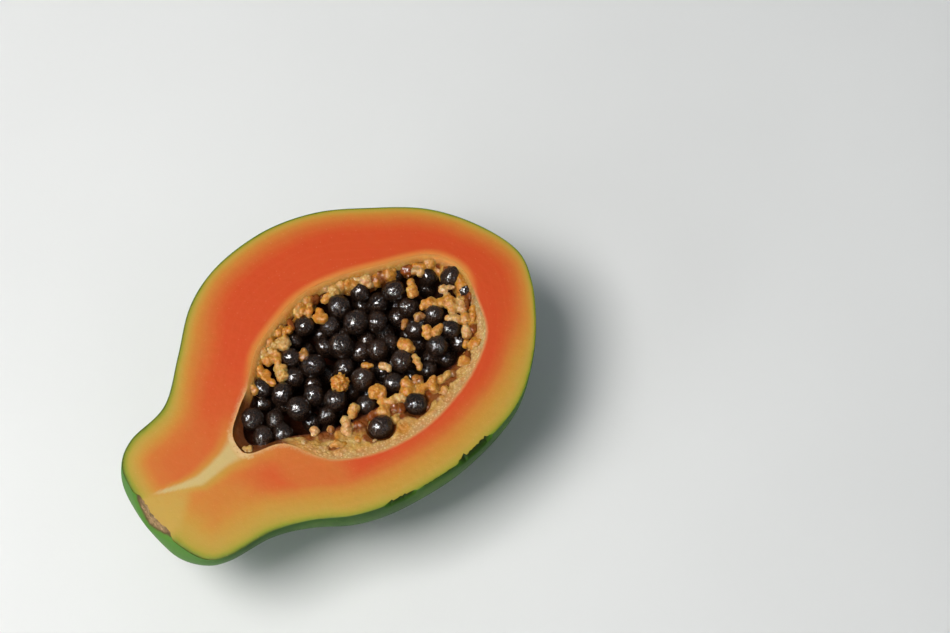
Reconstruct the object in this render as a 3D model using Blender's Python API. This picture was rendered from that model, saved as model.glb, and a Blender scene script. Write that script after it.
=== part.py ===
"""Half of a small papaya, cut lengthwise and lying on its skin with the cut face up and level.

Three closed solids: the flesh with its skin, the pith that lines the hollow, and the heap of seeds in it.
Each is drawn as a boat: a left edge, a right edge and a keel that run from the stem end to the blossom end,
with round sections hung between them. Stations are in millimetres, measured from the stem end along the
fruit, to the left of its axis and down from the cut face.
"""

import math

import bmesh
import bpy
import numpy as np
from mathutils import Vector
from mathutils.bvhtree import BVHTree

MM = 0.001

# Driving sizes, in millimetres.
LENGTH = 150.0
FRAME_SHIFT = (-74.19, -1.86)
FLAT_CUT = 0.55
RIM_LEAN = math.radians(-4.0)
GAP = 0.35
RIDGES = 5
RIDGE_SWELL = 0.012
STEM_SWELL = 3.1
STEM_SWELL_DEPTH = 13.0
STEM_SWELL_REACH = 18.0
STEM_SWELL_FLANK = (-28.0, -10.0)
SKIN_CHIP = 0.9
CHIPPED_STRETCH = (0.50, 0.78)
SCAR_RADIUS = 9.3
SCAR_DEPTH = 1.6
SCAR_ROUGHNESS = 0.5
SCAR_RINGS = (0.0, 0.35, 0.7, 1.0)
SCAR_TURNS = 16
CUTTER_MARGIN = 5.0
LID_EDGE = 0.985
PITH_DROP = 0.6
BAND_DROP = 3.4
BAND_ROUGHNESS = 0.9
BAND_LIP = 0.3
BAND_OVERLAP = 1.5
HEAP_DROP = 6.5
SEED_SPACING = 7.0
SEED_RADIUS = (3.1, 3.9)
SEED_SCATTER = 1.2
SEED_LAYERS = ((4.7, (0.0, 0.0)), (8.2, (3.5, 2.0)))
SEED_SIDES = 6
BALL_RINGS = 4
SEED_SHIFTS = 8
SEED_SHIFT = 0.5
LONE_SEED_DEPTH = 3.4
LONE_SEED_CLEAR = 3.2
KNOB_SPACING = 4.3
KNOB_RADIUS = (1.3, 2.3)
KNOB_SIDES = 5
ROW_PITCH = math.sqrt(0.75)
JITTER = 0.18
BALL_STRETCH = 1.1
FACET_SWELL = 1.07
LONE_SEEDS = ((89.4, -25.8, 3.6), (75.8, -23.8, 3.7))

# Resolution: samples between two stations, then steps along the fruit and round a section.
CURVE_SAMPLES = 24
FLESH_STEPS = (60, 22)
HOLLOW_STEPS = (36, 9)
BOWL_STEPS = (30, 7)
BAND_ROWS = 3

# Stations (along, left) of the edges, and (along, left, down) of the keels.
SKIN = {
    "left": (
        (0, 0), (1.4, 11), (4.2, 20), (12, 25), (27, 27), (41, 37.6), (54, 48.3), (66, 53.6),
        (79, 55.3), (94, 53.8), (109, 48), (122, 38.6), (137, 25), (146, 9.5), (150, -7),
    ),
    "right": (
        (0, 0), (0.9, -11.5), (4.2, -21.7), (11, -26.2), (26, -29), (37.5, -34.3), (48, -41.7), (58, -46.3),
        (71, -49.5), (86, -51.5), (102, -50.8), (115, -47.6), (127, -40.2), (137, -31), (146, -19), (150, -7),
    ),
    "keel": (
        (0, 0, 0), (1.5, 0, 11), (5, 0, 19.5), (12, 0, 23.6), (27, 0, 26.2), (41, 0, 34), (54, 0.5, 42.8),
        (66, 0.5, 47.9), (78, 0.5, 49.6), (92, 0.5, 48.6), (107, 0, 44.6), (122, -1, 36), (137, -3, 23.5),
        (146, -5.5, 11), (150, -7, 0),
    ),
}
HOLLOW = {
    "left": (
        (36, 0), (38, 5.5), (44.5, 10.2), (50.5, 13.8), (56, 18.6), (62.5, 23.2), (73, 26.4), (85, 28.2),
        (98, 25.4), (113, 18.6), (125, 12.3), (130, 6.5), (131.7, -1.5),
    ),
    "right": (
        (36, 0), (37.5, -4), (46, -7.3), (49.5, -11), (53, -19), (57, -24), (67, -30.2), (78, -33.6),
        (90, -34.3), (104, -31.9), (115, -27.5), (123, -21.7), (128, -11.5), (131.7, -1.5),
    ),
    "keel": (
        (36, 0, 0), (38, 0, 6), (46, 0, 13), (58, -1, 21.5), (72, -3, 27.5), (88, -3, 29.2), (104, -4, 27),
        (118, -4, 20), (128, -3, 10), (131.7, -1.5, 0),
    ),
}
BOWL = {
    "left": (
        (40, 1.5), (43, 6.4), (52, 12), (60, 17.8), (68, 22), (80, 24.7), (90, 25), (101, 21.8), (114, 15.5),
        (124, 9.6), (129.5, -2),
    ),
    "right": (
        (40, 1.5), (42, -2.5), (52, -7.5), (62, -13.5), (75, -17.5), (87, -19), (99, -22.5), (110, -23.5),
        (118, -19.5), (125, -12.5), (129.5, -2),
    ),
    "keel": (
        (40, 1.5, 0), (43.5, 2, 5), (56, 1.5, 13), (72, 2, 19.5), (88, 1, 21.5), (104, -1, 19.5),
        (118, -2, 13), (127, -2, 5), (129.5, -2, 0),
    ),
}

COLOURS = {
    "flesh": ((0.72, 0.16, 0.035), 0.45),
    "pith": ((0.78, 0.48, 0.22), 0.40),
    "seeds": ((0.012, 0.010, 0.009), 0.22),
}

rng = np.random.default_rng(7)


def clear_scene():
    for thing in list(bpy.data.objects):
        bpy.data.objects.remove(thing, do_unlink=True)


def material(name):
    colour, roughness = COLOURS[name]
    made = bpy.data.materials.new(name)
    made.use_nodes = True
    shader = made.node_tree.nodes["Principled BSDF"]
    shader.inputs["Base Color"].default_value = (*colour, 1.0)
    shader.inputs["Roughness"].default_value = roughness
    shader.inputs["Metallic"].default_value = 0.0
    return made


def curve_through(stations, steps):
    """Points, evenly spaced, of a smooth curve through all stations but the first and last, which steer its ends."""
    knots = np.array(stations, float)
    t = np.linspace(0, 1, CURVE_SAMPLES, endpoint=False)[:, None]
    fine = []
    for a, b, c, d in zip(knots, knots[1:], knots[2:], knots[3:]):
        bend = (2 * a - 5 * b + 4 * c - d) * t**2
        twist = (3 * b - a - 3 * c + d) * t**3
        fine.append(0.5 * (2 * b + (c - a) * t + bend + twist))
    fine = np.vstack([*fine, knots[-2]])
    run = np.concatenate([[0], np.cumsum(np.linalg.norm(np.diff(fine, axis=0), axis=1))])
    even = np.linspace(0, run[-1], steps + 1)
    return np.stack([np.interp(even, run, axis) for axis in fine.T], axis=1)


def outline(stations, steps):
    """The left edge, right edge and keel as curves, each steered at its ends to round off the meeting points."""
    left, right, keel = stations["left"], stations["right"], stations["keel"]
    first, last = ((along, across, -down) for along, across, down in (keel[1], keel[-2]))
    guided = (right[1], *left, right[-2]), (left[1], *right, left[-2]), (first, *keel, last)
    return [curve_through(line, steps)[:, None] for line in guided]


def boat(stations, steps, lean=0.0, swell=0.0):
    """Grid of points, [step along][step round], from the left edge under the keel to the right edge."""
    along, around = steps
    left, right, keel = outline(stations, along)
    angle = np.linspace(lean, math.pi - lean, around + 1)[None, :]
    across = np.cos(angle) / math.cos(lean)
    below = (np.sin(angle) - math.sin(lean)) / (1 - math.sin(lean))
    edge = np.where((across > 0)[..., None], left, right)
    grid = np.empty((along + 1, around + 1, 3))
    grid[..., :2] = keel[..., :2] + (edge - keel[..., :2]) * (np.abs(across)**2)[..., None]
    grid[..., 1] = keel[..., 1] + (edge[..., 1] - keel[..., 1]) * np.abs(across)
    ridges = 1 + swell * np.cos(RIDGES * angle) * np.sin(angle)**2
    grid[..., 2] = -keel[..., 2] * below * ridges
    return grid


def ease(low, high, values):
    """0 at low and 1 at high, smooth in between. High may be the lower of the two."""
    share = np.clip((values - low) / (high - low), 0, 1)
    return share**2 * (3 - 2 * share)


def stem_swell(down):
    """How far the stem end stands out below the cut face, at each depth."""
    return STEM_SWELL * np.sin(math.pi / 2 * np.clip(down / STEM_SWELL_DEPTH, 0, 2))


def skin_grid():
    """The outside of the fruit, with a stem end that swells out below the cut."""
    grid = boat(SKIN, FLESH_STEPS, RIM_LEAN, RIDGE_SWELL)
    fade = ease(STEM_SWELL_REACH, 0, grid[..., 0]) * ease(*STEM_SWELL_FLANK, grid[..., 1])
    grid[..., 0] -= stem_swell(-grid[..., 2]) * fade
    return grid


def to_world(grid):
    """The frame's metres, from millimetres along, to the left and up from the cut face."""
    return (grid + (*FRAME_SHIFT, CUT_HEIGHT)) * MM


def grow(grid, distance):
    """The grid moved by a distance along its normals, out of the boat where the distance is positive."""
    along = np.gradient(grid, axis=0)
    around = np.gradient(grid, axis=1)
    normal = np.cross(along, around)
    size = np.linalg.norm(normal, axis=2, keepdims=True)
    normal = normal / np.maximum(size, 1e-9)
    normal[0] = (-1, 0, 0)
    normal[-1] = (1, 0, 0)
    return grid + distance * normal


def rim_loop(grid):
    """The grid's edge as one loop, from the stem end along the left side and back along the right."""
    return np.vstack([grid[:, 0], grid[-2:0:-1, -1]])


def closed_mesh(name, grid, rings=()):
    """A closed mesh: a boat's hull, strips from its rim through each ring in turn, and a lid on the last."""
    mesh = bmesh.new()
    along, around = grid.shape[0] - 1, grid.shape[1] - 1
    points = to_world(grid)
    stem = mesh.verts.new(points[0, 0])
    tip = mesh.verts.new(points[-1, 0])
    hull = [[stem] * (around + 1)]
    hull += [[mesh.verts.new(point) for point in row] for row in points[1:-1]]
    hull += [[tip] * (around + 1)]
    for i in range(along):
        for j in range(around):
            corners = [hull[i][j], hull[i + 1][j], hull[i + 1][j + 1], hull[i][j + 1]]
            mesh.faces.new(list(dict.fromkeys(corners)))
    edge = [row[0] for row in hull] + [row[-1] for row in hull[-2:0:-1]]
    for ring in rings:
        loop = [mesh.verts.new(point) for point in to_world(ring)]
        for k in range(len(edge)):
            n = (k + 1) % len(edge)
            mesh.faces.new([edge[k], edge[n], loop[n], loop[k]])
        edge = loop
    mesh.faces.new(edge)
    bmesh.ops.triangulate(mesh, faces=[face for face in mesh.faces if len(face.verts) > 4])
    bmesh.ops.recalc_face_normals(mesh, faces=mesh.faces)
    data = bpy.data.meshes.new(name)
    mesh.to_mesh(data)
    mesh.free()
    thing = bpy.data.objects.new(name, data)
    bpy.context.scene.collection.objects.link(thing)
    return thing


def apply_modifiers(thing):
    """Puts the modified mesh in the place of the object's own."""
    graph = bpy.context.evaluated_depsgraph_get()
    data = bpy.data.meshes.new_from_object(thing.evaluated_get(graph))
    thing.modifiers.clear()
    thing.data = data


def subtract(thing, cutter):
    """Cuts one object by another, then removes the cutter."""
    cut = thing.modifiers.new(cutter.name, "BOOLEAN")
    cut.operation = "DIFFERENCE"
    cut.solver = "EXACT"
    cut.object = cutter
    apply_modifiers(thing)
    bpy.data.objects.remove(cutter, do_unlink=True)


def slice_level(thing, height, keep_below):
    """Cuts the object at a level plane and closes the cut with a flat face."""
    mesh = bmesh.new()
    mesh.from_mesh(thing.data)
    geometry = list(mesh.verts) + list(mesh.edges) + list(mesh.faces)
    cut = bmesh.ops.bisect_plane(
        mesh, geom=geometry, plane_co=(0, 0, height), plane_no=(0, 0, 1), dist=1e-7,
        clear_outer=keep_below, clear_inner=not keep_below,
    )
    edges = [item for item in cut["geom_cut"] if isinstance(item, bmesh.types.BMEdge)]
    bmesh.ops.contextual_create(mesh, geom=edges)
    bmesh.ops.recalc_face_normals(mesh, faces=mesh.faces)
    mesh.to_mesh(thing.data)
    mesh.free()


def fuse(core, pieces):
    """Joins the pieces to the core in one union, then keeps the one closed body without sealed hollows."""
    group = bpy.data.collections.new(core.name + "_pieces")
    bpy.context.scene.collection.children.link(group)
    for piece in pieces:
        bpy.context.scene.collection.objects.unlink(piece)
        group.objects.link(piece)
    join = core.modifiers.new("fuse", "BOOLEAN")
    join.operation = "UNION"
    join.operand_type = "COLLECTION"
    join.collection = group
    join.solver = "MANIFOLD"
    apply_modifiers(core)
    for piece in pieces:
        bpy.data.objects.remove(piece, do_unlink=True)
    bpy.data.collections.remove(group)
    keep_largest_body(core)


def keep_largest_body(thing):
    """Deletes every loose body but the longest."""
    mesh = bmesh.new()
    mesh.from_mesh(thing.data)
    unseen = set(mesh.verts)
    bodies = []
    while unseen:
        body = {unseen.pop()}
        front = list(body)
        while front:
            vert = front.pop()
            near = {edge.other_vert(vert) for edge in vert.link_edges} & unseen
            unseen -= near
            body |= near
            front += near
        bodies.append(body)
    largest = max(bodies, key=lambda body: max(v.co.x for v in body) - min(v.co.x for v in body))
    scrap = [vert for vert in mesh.verts if vert not in largest]
    bmesh.ops.delete(mesh, geom=scrap, context="VERTS")
    mesh.to_mesh(thing.data)
    mesh.free()


def ball(name, centre, radius, sides):
    """A seed or a knob: a faceted ball, a little longer than wide and turned at random."""
    mesh = bmesh.new()
    bmesh.ops.create_uvsphere(mesh, u_segments=sides, v_segments=BALL_RINGS, radius=radius * FACET_SWELL * MM)
    bmesh.ops.scale(mesh, vec=(1, 1, BALL_STRETCH), verts=mesh.verts)
    data = bpy.data.meshes.new(name)
    mesh.to_mesh(data)
    mesh.free()
    thing = bpy.data.objects.new(name, data)
    thing.location = centre
    thing.rotation_euler = rng.uniform(0, math.tau, 3)
    bpy.context.scene.collection.objects.link(thing)
    return thing


def surface_of(thing):
    """The object's surface, for distances and for rays dropped on it."""
    mesh = bmesh.new()
    mesh.from_mesh(thing.data)
    surface = BVHTree.FromBMesh(mesh)
    mesh.free()
    return surface


def height_at(surface, spot):
    """The height of the surface under a point seen from above, or None beside it."""
    hit = surface.ray_cast(Vector((spot[0], spot[1], 1.0)), Vector((0, 0, -1)))[0]
    return None if hit is None else hit.z


def clearance(surface, centre):
    """The distance from a point to the surface."""
    return surface.find_nearest(Vector(centre))[3]


def spots_over(stations, spacing, shift=(0.0, 0.0)):
    """A jittered grid of rows and staggered columns over a boat's outline, in the cut plane."""
    outline = np.array(stations["left"] + stations["right"])
    low, high = outline.min(axis=0), outline.max(axis=0)
    spots = []
    for row, across in enumerate(np.arange(low[1], high[1], spacing * ROW_PITCH)):
        for along in np.arange(low[0] + (row % 2) * spacing / 2, high[0], spacing):
            jitter = rng.uniform(-JITTER, JITTER, 2) * spacing
            spots.append((along + shift[0] + jitter[0], across + shift[1] + jitter[1]))
    return spots


def finish(thing, name):
    """Names the object for its node and gives it its material and its sharp edges."""
    thing.name = name
    thing.data.name = name
    thing.data.materials.clear()
    thing.data.materials.append(material(name))
    thing.data.shade_smooth()
    thing.data.set_sharp_from_angle(angle=math.radians(40))


def scar_cutter():
    """A short plug with a rough end that follows the stem end and sinks the stalk's scar into it."""
    mesh = bmesh.new()
    last = None
    for share in SCAR_RINGS:
        depth = SCAR_DEPTH + SCAR_ROUGHNESS * rng.uniform(-1, 1, SCAR_TURNS)
        loop = []
        for k in range(SCAR_TURNS if share else 1):
            angle = math.tau * k / SCAR_TURNS
            across = SCAR_RADIUS * share * math.cos(angle)
            up = SCAR_RADIUS * share * math.sin(angle)
            loop.append(mesh.verts.new(to_world(np.array((depth[k] - stem_swell(-up), across, up)))))
        if last and len(last) == 1:
            for k in range(SCAR_TURNS):
                mesh.faces.new([last[0], loop[k], loop[(k + 1) % SCAR_TURNS]])
        elif last:
            for k in range(SCAR_TURNS):
                n = (k + 1) % SCAR_TURNS
                mesh.faces.new([last[k], loop[k], loop[n], last[n]])
        last = loop
    extruded = bmesh.ops.extrude_edge_only(mesh, edges=[edge for edge in mesh.edges if edge.is_boundary])
    moved = [item for item in extruded["geom"] if isinstance(item, bmesh.types.BMVert)]
    bmesh.ops.translate(mesh, verts=moved, vec=(-(SCAR_DEPTH + CUTTER_MARGIN) * MM, 0, 0))
    bmesh.ops.contextual_create(mesh, geom=[edge for edge in mesh.edges if edge.is_boundary])
    bmesh.ops.recalc_face_normals(mesh, faces=mesh.faces)
    data = bpy.data.meshes.new("scar")
    mesh.to_mesh(data)
    mesh.free()
    thing = bpy.data.objects.new("scar", data)
    bpy.context.scene.collection.objects.link(thing)
    return thing


def hollow_cutter():
    """The hollow, carried up through the cut face."""
    grid = boat(HOLLOW, HOLLOW_STEPS)
    return closed_mesh("hollow", grid, [rim_loop(grid) + (0, 0, CUTTER_MARGIN)])


def make_flesh():
    """Skin and flesh in one solid, with the hollow, the stalk's scar and the chipped edge of the skin."""
    grid = skin_grid()
    first, last = (int(share * FLESH_STEPS[0]) for share in CHIPPED_STRETCH)
    grid[first:last, -1, 2] -= SKIN_CHIP * rng.uniform(0, 1, last - first)
    inner = rim_loop(grid) * (1, 1, 0)
    middle = np.array((LENGTH / 2, 0, 0))
    inner = middle + (inner - middle) * LID_EDGE
    flesh = closed_mesh("flesh", grid, [inner])
    subtract(flesh, hollow_cutter())
    subtract(flesh, scar_cutter())
    slice_level(flesh, 0.0, keep_below=False)
    finish(flesh, "flesh")
    return flesh


def bowl_cutter():
    """What the seeds leave free of the pith: their bowl, and above it all that the sloping band leaves."""
    grid = boat(BOWL, (HOLLOW_STEPS[0], BOWL_STEPS[1]))
    grid[..., 2] -= BAND_DROP
    inside = rim_loop(grid)
    outside = rim_loop(grow(boat(HOLLOW, HOLLOW_STEPS), BAND_OVERLAP)) * (1, 1, 0)
    rings = []
    for row in range(1, BAND_ROWS + 1):
        share = row / BAND_ROWS
        ring = inside + (outside - inside) * share
        ring[:, 2] = -BAND_DROP + (BAND_DROP - PITH_DROP + BAND_LIP) * share**2
        if row < BAND_ROWS:
            ring[:, 2] += BAND_ROUGHNESS * rng.uniform(-1, 1, len(ring)) * math.sin(math.pi * share)
        rings.append(ring)
    rings.append(outside + (0, 0, CUTTER_MARGIN))
    return closed_mesh("bowl", grid, rings)


def make_pith(flesh):
    """The lining: from the hollow's wall to the seeds, wide on the right, with knobs and two lone seeds."""
    grid = grow(boat(HOLLOW, HOLLOW_STEPS), -GAP)
    pith = closed_mesh("pith", grid)
    slice_level(pith, (CUT_HEIGHT - PITH_DROP) * MM, keep_below=True)
    subtract(pith, bowl_cutter())
    wall, lining = surface_of(flesh), surface_of(pith)
    pieces = []
    for along, across, radius in LONE_SEEDS:
        centre = to_world(np.array((along, across, -LONE_SEED_DEPTH)))
        pieces.append(ball("lone_seed", centre, radius, SEED_SIDES))
    for spot in spots_over(HOLLOW, KNOB_SPACING):
        centre = to_world(np.array((*spot, 0.0)))
        height = height_at(lining, centre)
        if height is None or height < (CUT_HEIGHT - BAND_DROP - BAND_ROUGHNESS) * MM:
            continue
        radius = rng.uniform(*KNOB_RADIUS)
        centre[2] = min(height, (CUT_HEIGHT - radius) * MM)
        crowded = any((piece.location - Vector(centre)).length < (LONE_SEED_CLEAR + radius) * MM
                      for piece in pieces[:len(LONE_SEEDS)])
        if crowded or clearance(wall, centre) < (radius * BALL_STRETCH + GAP) * MM:
            continue
        pieces.append(ball("knob", centre, radius, KNOB_SIDES))
    fuse(pith, pieces)
    finish(pith, "pith")
    return pith


def make_seeds(pith):
    """The heap: a core that fills the bowl, with two layers of seeds fused to its top."""
    grid = grow(boat(BOWL, BOWL_STEPS), -GAP)
    grid[..., 2] -= BAND_DROP
    seeds = closed_mesh("seeds", grid)
    slice_level(seeds, (CUT_HEIGHT - HEAP_DROP) * MM, keep_below=True)
    core, lining = surface_of(seeds), surface_of(pith)
    middle = to_world(np.array(((BOWL["keel"][0][0] + BOWL["keel"][-1][0]) / 2, 0, 0)))
    pieces = []
    for depth, shift in SEED_LAYERS:
        for spot in spots_over(BOWL, SEED_SPACING, shift):
            radius = rng.uniform(*SEED_RADIUS)
            drop = depth + rng.uniform(-SEED_SCATTER, SEED_SCATTER)
            centre = to_world(np.array((*spot, -drop)))
            if height_at(core, centre) is None:
                continue
            for _ in range(SEED_SHIFTS):
                if clearance(lining, centre) > (radius * BALL_STRETCH * FACET_SWELL + GAP) * MM:
                    pieces.append(ball("seed", centre, radius, SEED_SIDES))
                    break
                inward = (middle - centre) * (1, 1, 0)
                centre = centre + inward / np.linalg.norm(inward) * SEED_SHIFT * MM
    fuse(seeds, pieces)
    finish(seeds, "seeds")
    return seeds


CUT_HEIGHT = -skin_grid()[..., 2].min() - FLAT_CUT

clear_scene()
skin_and_flesh = make_flesh()
lining_of_pith = make_pith(skin_and_flesh)
make_seeds(lining_of_pith)
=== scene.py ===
"""The looks of a papaya half: skin, cut flesh, stalk scar, pith and seeds, on a pale floor.

Stations are in millimetres, measured from the stem end along the fruit, to the left of its axis, and up
from the cut face. at() takes them to the frame's metres.
"""

import math

import bmesh
import bpy
import numpy as np
from mathutils import Matrix, Vector, noise
from mathutils.bvhtree import BVHTree
from mathutils.kdtree import KDTree


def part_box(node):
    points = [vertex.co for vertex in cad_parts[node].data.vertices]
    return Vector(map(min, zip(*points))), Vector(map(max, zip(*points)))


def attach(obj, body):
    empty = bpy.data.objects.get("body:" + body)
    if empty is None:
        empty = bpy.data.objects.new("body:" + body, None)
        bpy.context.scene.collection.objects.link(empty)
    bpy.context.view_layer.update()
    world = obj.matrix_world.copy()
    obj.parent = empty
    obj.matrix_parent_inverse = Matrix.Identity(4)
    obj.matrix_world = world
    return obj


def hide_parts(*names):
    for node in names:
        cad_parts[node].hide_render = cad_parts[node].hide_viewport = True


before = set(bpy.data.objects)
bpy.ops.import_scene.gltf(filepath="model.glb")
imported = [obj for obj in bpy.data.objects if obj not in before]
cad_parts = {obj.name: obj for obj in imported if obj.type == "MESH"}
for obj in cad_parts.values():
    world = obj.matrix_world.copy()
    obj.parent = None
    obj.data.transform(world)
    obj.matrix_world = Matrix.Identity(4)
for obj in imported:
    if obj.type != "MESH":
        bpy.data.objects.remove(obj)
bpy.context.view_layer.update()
rng = np.random.default_rng(11)

MM = 0.001

# The frame's own places: the level of the cut face, where the stem end is, and the fruit's axis.
FLESH_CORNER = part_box("flesh")[1]
CUT_LEVEL = FLESH_CORNER.z
LENGTH = 150.0
STEM_X = FLESH_CORNER.x - LENGTH * MM
AXIS_Y = -1.86 * MM

# Shape of the fruit, as (along, left) stations of the edges and (along, left, down) ones of the keels.
RIM_LEAN = math.radians(-4.0)
RIDGES = 5
RIDGE_SWELL = 0.012
STEM_SWELL = 3.1
STEM_SWELL_DEPTH = 13.0
STEM_SWELL_REACH = 18.0
STEM_SWELL_FLANK = (-28.0, -10.0)
SKIN = {
    "left": (
        (0, 0), (1.4, 11), (4.2, 20), (12, 25), (27, 27), (41, 37.6), (54, 48.3), (66, 53.6),
        (79, 55.3), (94, 53.8), (109, 48), (122, 38.6), (137, 25), (146, 9.5), (150, -7),
    ),
    "right": (
        (0, 0), (0.9, -11.5), (4.2, -21.7), (11, -26.2), (26, -29), (37.5, -34.3), (48, -41.7), (58, -46.3),
        (71, -49.5), (86, -51.5), (102, -50.8), (115, -47.6), (127, -40.2), (137, -31), (146, -19), (150, -7),
    ),
    "keel": (
        (0, 0, 0), (1.5, 0, 11), (5, 0, 19.5), (12, 0, 23.6), (27, 0, 26.2), (41, 0, 34), (54, 0.5, 42.8),
        (66, 0.5, 47.9), (78, 0.5, 49.6), (92, 0.5, 48.6), (107, 0, 44.6), (122, -1, 36), (137, -3, 23.5),
        (146, -5.5, 11), (150, -7, 0),
    ),
}
HOLLOW = {
    "left": (
        (36, 0), (38, 5.5), (44.5, 10.2), (50.5, 13.8), (56, 18.6), (62.5, 23.2), (73, 26.4), (85, 28.2),
        (98, 25.4), (113, 18.6), (125, 12.3), (130, 6.5), (131.7, -1.5),
    ),
    "right": (
        (36, 0), (37.5, -4), (46, -7.3), (49.5, -11), (53, -19), (57, -24), (67, -30.2), (78, -33.6),
        (90, -34.3), (104, -31.9), (115, -27.5), (123, -21.7), (128, -11.5), (131.7, -1.5),
    ),
    "keel": (
        (36, 0, 0), (38, 0, 6), (46, 0, 13), (58, -1, 21.5), (72, -3, 27.5), (88, -3, 29.2), (104, -4, 27),
        (118, -4, 20), (128, -3, 10), (131.7, -1.5, 0),
    ),
}
BOWL = {
    "left": (
        (40, 1.5), (43, 6.4), (52, 12), (60, 17.8), (68, 22), (80, 24.7), (90, 25), (101, 21.8), (114, 15.5),
        (124, 9.6), (129.5, -2),
    ),
    "right": (
        (40, 1.5), (42, -2.5), (52, -7.5), (62, -13.5), (75, -17.5), (87, -19), (99, -22.5), (110, -23.5),
        (118, -19.5), (125, -12.5), (129.5, -2),
    ),
    "keel": (
        (40, 1.5, 0), (43.5, 2, 5), (56, 1.5, 13), (72, 2, 19.5), (88, 1, 21.5), (104, -1, 19.5), (118, -2, 13),
        (127, -2, 5), (129.5, -2, 0),
    ),
}

# The stalk's scar: its reach to the side and down, its depth, and the stations between which it fades.
SCAR_REACH = (9.9, 6.2)
SCAR_ROUND = 1.2
SCAR_DEPTH = 1.5
SCAR_FADE = (3.0, 9.0)

# Where the skin's edge is torn, as (along, left, reach, depth), and how far its first two rows of points sink with
# it and how strongly they take the torn colour, dark green with painted shade in the crack.
TEARS = ((92.0, -50.6, 9.0, 2.1), (78.0, -50.3, 9.5, 0.5), (63.5, -48.2, 6.5, 1.4))
SUNK_ROWS = (1.0, 0.5)
TORN_ROWS = (0.55, 0.3)

# How far below the cut face the flesh's outer edge, its edge at the hollow and the pith's inner edge lie, how far
# the cut face keeps from the skin where that is whole, and the gap that the solids leave round the pith.
EDGE_DROP = 0.1
HOLLOW_DROP = 0.12
BAND_DROP = 3.4
EDGE_INSET = 0.12
GAP = 0.35

# Seeds as (pixel across, pixel down, size in mm), the ones on top first, at their heights in the heap.
SEEDS = {
    -4.3: (
        (465, 291, 5.2), (341, 346, 8.6), (282, 394, 7.2), (252, 419, 7.8), (313, 366, 8.2), (290, 358, 6.6),
        (299, 409, 8), (336, 400, 7.8), (363, 379, 8.2), (394, 383, 6.6), (402, 361, 7.8), (434, 315, 7),
        (451, 329, 6.8), (437, 346, 7.6), (452, 276, 8), (394, 291, 7.6), (339, 307, 7.8), (304, 326, 6.8),
        (263, 437, 6.8), (262, 388, 6.4), (328, 416, 6.9), (356, 322, 8), (377, 322, 7),
    ),
    -5.6: (
        (428, 277, 6.6), (427, 290, 6.2), (395, 275, 6.6), (378, 303, 7.2), (360, 292, 7.2), (408, 307, 7.4),
        (415, 330, 6.6), (460, 343, 6.6), (447, 357, 7.4), (430, 359, 6.6), (360, 352, 7), (378, 350, 7.2),
        (330, 326, 6.8), (262, 403, 6.2), (294, 378, 6.8), (314, 395, 7), (367, 405, 7), (283, 434, 7.2),
    ),
    -8.0: (
        (366, 340, 6.6), (389, 345, 6.8), (325, 348, 6.6), (293, 341, 6.2), (347, 284, 6.6), (298, 310, 6.2),
        (428, 370, 6.2), (344, 368, 6.6), (312, 384, 6.4), (330, 430, 6), (311, 422, 6), (397, 318, 6.6),
        (351, 392, 6.4), (384, 333, 6.6), (334, 320, 6.2), (275, 420, 6.6), (444, 336, 6.2), (345, 330, 6.2),
        (272, 412, 6.4), (420, 345, 6.2), (396, 305, 6.4),
    ),
}
LONE_SEEDS = ((416, 404, 7.4), (381, 427, 7.8))
LONE_HEIGHT = -2.5

# The seeds below: their spacing, heights, radii and shift at random, in mm. A seed sinks by steps, down to a limit,
# until it touches no other.
FILL_SPACING = 6.2
FILL_LAYERS = (-10.5, -15.0, -19.5)
FILL_RADIUS = (2.9, 3.5)
FILL_SHIFT = 1.4
SEED_KINDS = 9
SINK_STEP, SINK_LIMIT = 0.25, 9

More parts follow.
